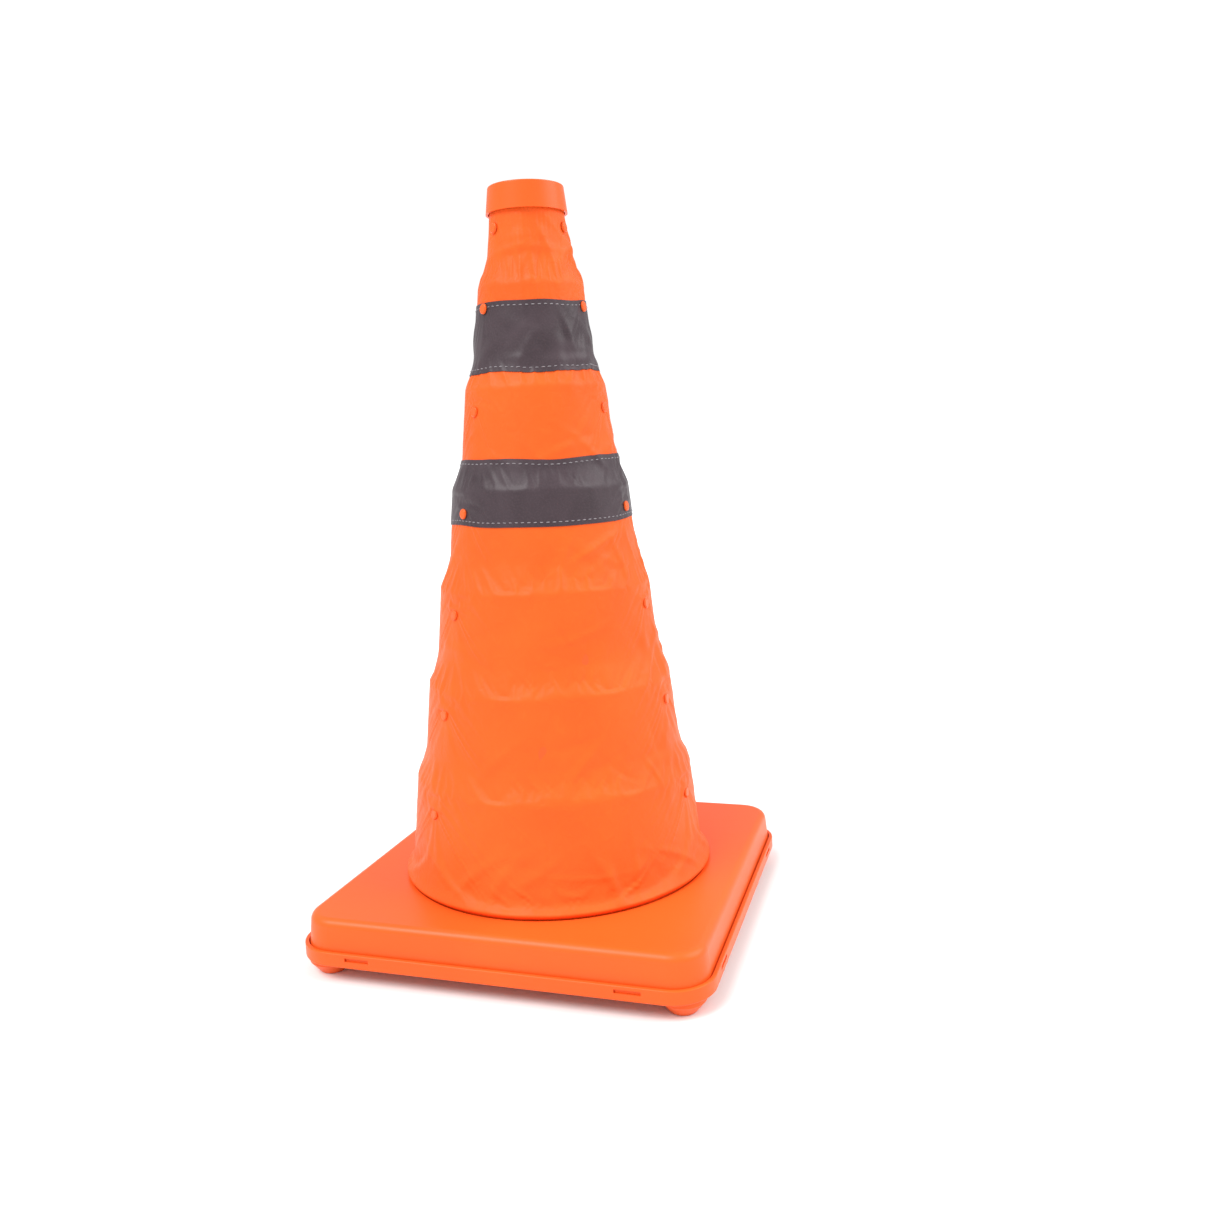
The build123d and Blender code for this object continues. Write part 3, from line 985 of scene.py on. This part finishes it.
class CONE_OT_finish_fasteners(bpy.types.Operator):
    """Give the rivets their glossy orange and the screws their zinc"""

    bl_idname = "cone.finish_fasteners"
    bl_label = "Finish the rivets and screws"

    def execute(self, context):
        colours = context.scene.cone_colours
        material = moulded_plastic("glossy_rivet_plastic", colours.plastic, 0.28, 0.00001)
        for ring in range(1, RING_COUNT + 1):
            give_finish(f"ring_{ring}_rivets", material)
            give_finish(f"ring_{ring}_rivet_backs", material)
        give_finish("collar_screws", zinc_steel(colours))
        return {"FINISHED"}


class CONE_OT_stage(bpy.types.Operator):
    """Set up the pale floor, the soft lamps, the white surroundings and the camera"""

    bl_idname = "cone.stage"
    bl_label = "Set the stage"

    def execute(self, context):
        view = context.scene.cone_view
        bpy.ops.object.select_all(action="DESELECT")
        bpy.ops.mesh.primitive_circle_add(vertices=96, radius=12.0, fill_type="NGON", location=(0, 0, 0))
        floor = context.object
        floor.name = "studio_floor"
        material, tree, shader = new_finish("pale_floor", (0.8, 0.8, 0.8), 0.85)
        speckle = noise(tree, on_object(tree), 30.0)
        tree.links.new(blended(tree, speckle, (0.79, 0.79, 0.79), (0.81, 0.81, 0.81)), shader.inputs["Base Color"])
        shader.inputs["Specular IOR Level"].default_value = 0.1
        floor.data.materials.append(material)
        world = bpy.data.worlds.new("white_surroundings")
        context.scene.world = world
        world.use_nodes = True
        tree = world.node_tree
        backdrop = tree.nodes["Background"]
        backdrop.inputs["Color"].default_value = (1.0, 1.0, 1.0, 1.0)
        seen = node(tree, "ShaderNodeLightPath").outputs["Is Camera Ray"]
        tree.links.new(in_range(tree, seen, 0.0, 1.0, view.sky, 1.05), backdrop.inputs["Strength"])
        for name, around, above, softness, strength in (
                ("key_lamp", -35.0, 54.0, 35.0, 2.8),
                ("fill_lamp", 105.0, 40.0, 50.0, 2.2)):
            bpy.ops.object.light_add(type="SUN", location=(0, 0, 2.0))
            lamp = context.object
            lamp.name = name
            lamp.data.energy = strength * view.lamps
            lamp.data.angle = math.radians(softness)
            turn, lift = math.radians(around), math.radians(above)
            towards = Vector((math.sin(turn) * math.cos(lift), -math.cos(turn) * math.cos(lift), math.sin(lift)))
            lamp.rotation_euler = towards.to_track_quat("Z", "Y").to_euler()
        camera = bpy.data.objects.new("camera", bpy.data.cameras.new("camera"))
        context.scene.collection.objects.link(camera)
        camera.data.lens = view.lens
        camera.data.clip_start, camera.data.clip_end = 0.01, 50.0
        place = Vector((math.sin(view.around), -math.cos(view.around), 0.0)) * view.distance
        place.z = view.height
        turn = Matrix.Rotation(view.around - view.pan, 3, "Z")
        tilt = Matrix.Rotation(math.pi / 2 - view.tilt, 3, "X")
        roll = Matrix.Rotation(-view.roll, 3, "Z")
        camera.matrix_world = Matrix.Translation(place) @ (turn @ tilt @ roll).to_4x4()
        context.scene.camera = camera
        context.scene.view_settings.view_transform = "Standard"
        return {"FINISHED"}


STEPS = (
    CONE_OT_relax_sleeve,
    CONE_OT_sew_seam,
    CONE_OT_sew_sleeve,
    CONE_OT_sew_tape,
    CONE_OT_finish_base,
    CONE_OT_finish_rings,
    CONE_OT_finish_fasteners,
    CONE_OT_stage,
)


class CONE_PT_panel(bpy.types.Panel):
    """Steps that dress the cone, in order"""

    bl_idname = "CONE_PT_panel"
    bl_label = "Traffic Cone"
    bl_space_type = "VIEW_3D"
    bl_region_type = "UI"
    bl_category = "Traffic Cone"

    def draw(self, context):
        for step in STEPS:
            self.layout.operator(step.bl_idname)
        for group in (context.scene.cone_sizes, context.scene.cone_colours, context.scene.cone_view):
            box = self.layout.box()
            for name in group.bl_rna.properties.keys():
                if name not in ("rna_type", "name"):
                    box.prop(group, name)


CLASSES = (ConeSizes, ConeColours, ConeView) + STEPS + (CONE_PT_panel,)


def register():
    for item in CLASSES:
        bpy.utils.register_class(item)
    bpy.types.Scene.cone_sizes = bpy.props.PointerProperty(type=ConeSizes)
    bpy.types.Scene.cone_colours = bpy.props.PointerProperty(type=ConeColours)
    bpy.types.Scene.cone_view = bpy.props.PointerProperty(type=ConeView)


def unregister():
    del bpy.types.Scene.cone_view
    del bpy.types.Scene.cone_colours
    del bpy.types.Scene.cone_sizes
    for item in reversed(CLASSES):
        bpy.utils.unregister_class(item)


def main():
    register()
    bpy.ops.cone.relax_sleeve()
    bpy.ops.cone.sew_seam()
    bpy.ops.cone.sew_sleeve()
    bpy.ops.cone.sew_tape()
    bpy.ops.cone.finish_base()
    bpy.ops.cone.finish_rings()
    bpy.ops.cone.finish_fasteners()
    bpy.ops.cone.stage()


if __name__ == "__main__":
    main()
